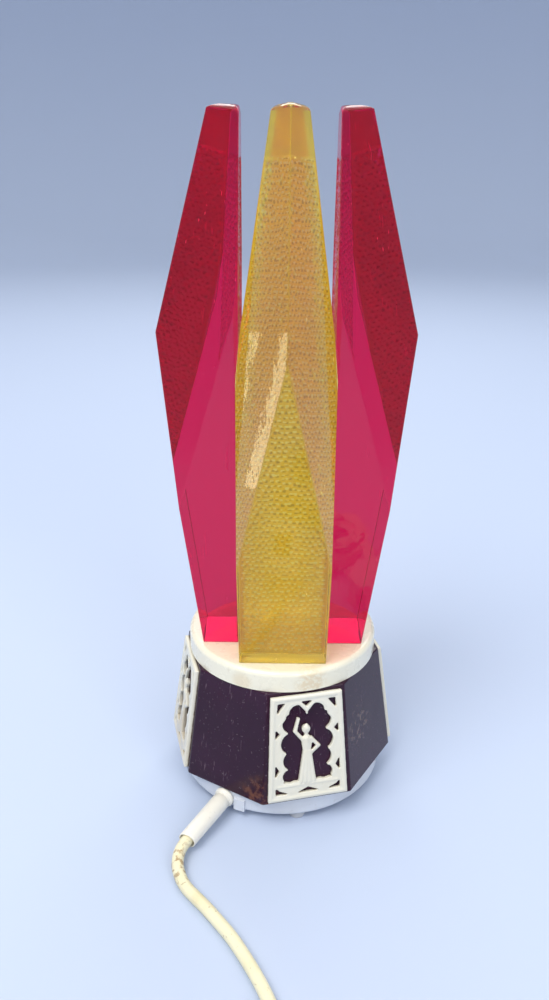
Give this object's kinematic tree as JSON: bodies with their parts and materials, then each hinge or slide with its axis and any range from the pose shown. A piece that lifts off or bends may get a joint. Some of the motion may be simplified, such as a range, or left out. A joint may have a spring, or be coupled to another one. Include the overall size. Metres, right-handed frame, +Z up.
{
  "type": "table night lamp",
  "caption": "Table night lamp: tall faceted translucent acrylic petals on a round plate, over an octagonal skirt with fretwork plaques, on a round tray with a mains cord",
  "frame": {"origin": "on the lamp's vertical axis, at the level that its feet stand on", "axes": "+Z up the lamp, -Y towards the lamp's front, +X to the right of someone who faces the front"},
  "size_m": [0.1269, 0.3281, 0.285],
  "materials": {
    "amber_acrylic": "polished clear amber acrylic, hammered on the inner face",
    "ruby_acrylic": "polished clear ruby acrylic, hammered on the inner face",
    "cream_plastic": "slightly yellowed moulded plastic",
    "plaque_plastic": "cast cream relief, soft edges",
    "aubergine_plastic": "glossy dark moulded plastic with wear",
    "tray_plastic": "pale moulded plastic",
    "foot_plastic": "translucent grey soft plastic",
    "zinc_steel": "zinc plated",
    "bakelite": "black bakelite",
    "white_ceramic": "glazed white",
    "contact_brass": "dull brass",
    "bulb_glass": "clear blown glass",
    "cap_nickel": "nickel plated",
    "filament_wire": "drawn wire",
    "cord_pvc": "soft yellowed cream sheath",
    "wire_pvc": "insulated wire",
    "sleeve_plastic": "soft off-white tube",
    "tie_plastic": "woven tie",
    "switch_plastic": "moulded cream plastic",
    "rocker_plastic": "moulded dark red plastic",
    "pin_nickel": "nickel plated brass"
  },
  "bodies": {
    "lamp": {"base_tray": "tray_plastic", "feet": "foot_plastic", "skirt": "aubergine_plastic", "top_plate": "cream_plastic", "petal_front": "amber_acrylic", "petal_right": "ruby_acrylic", "petal_back": "amber_acrylic", "petal_left": "ruby_acrylic", "plaque_front": "plaque_plastic", "plaque_right": "plaque_plastic", "plaque_back": "plaque_plastic", "plaque_left": "plaque_plastic", "tie_rods": "zinc_steel", "tie_nuts": "zinc_steel", "holder_bracket": "zinc_steel", "bracket_screws": "zinc_steel", "holder_nipple": "zinc_steel", "nipple_nut": "zinc_steel", "holder_body": "bakelite", "holder_insert": "white_ceramic", "holder_shell": "contact_brass", "centre_contact": "contact_brass", "bulb_glass": "bulb_glass", "bulb_cap": "cap_nickel", "bulb_mount": "filament_wire", "cord_clamp": "cream_plastic", "clamp_screws": "zinc_steel", "inner_cord": "cord_pvc", "inner_wires": "wire_pvc", "cord_gland": "sleeve_plastic", "cord_sleeve": "sleeve_plastic", "cord_front": "cord_pvc", "cord_middle": "cord_pvc", "cord_coil": "cord_pvc", "cord_tail": "cord_pvc", "cord_tie": "tie_plastic", "switch_base": "switch_plastic", "switch_cover": "switch_plastic", "switch_pin": "zinc_steel", "switch_screws": "zinc_steel", "switch_contacts": "contact_brass", "plug_lower": "switch_plastic", "plug_upper": "switch_plastic", "plug_pins": "pin_nickel", "plug_screw": "zinc_steel"},
    "rocker": {"switch_rocker": "rocker_plastic"}
  },
  "joints": [
    {"name": "rocker_tilt", "type": "hinge", "parent": "lamp", "child": "rocker", "pos_m": [0, -0.177, 0.0096], "axis": [1, 0, 0], "range_deg": [0, 20]}
  ]
}
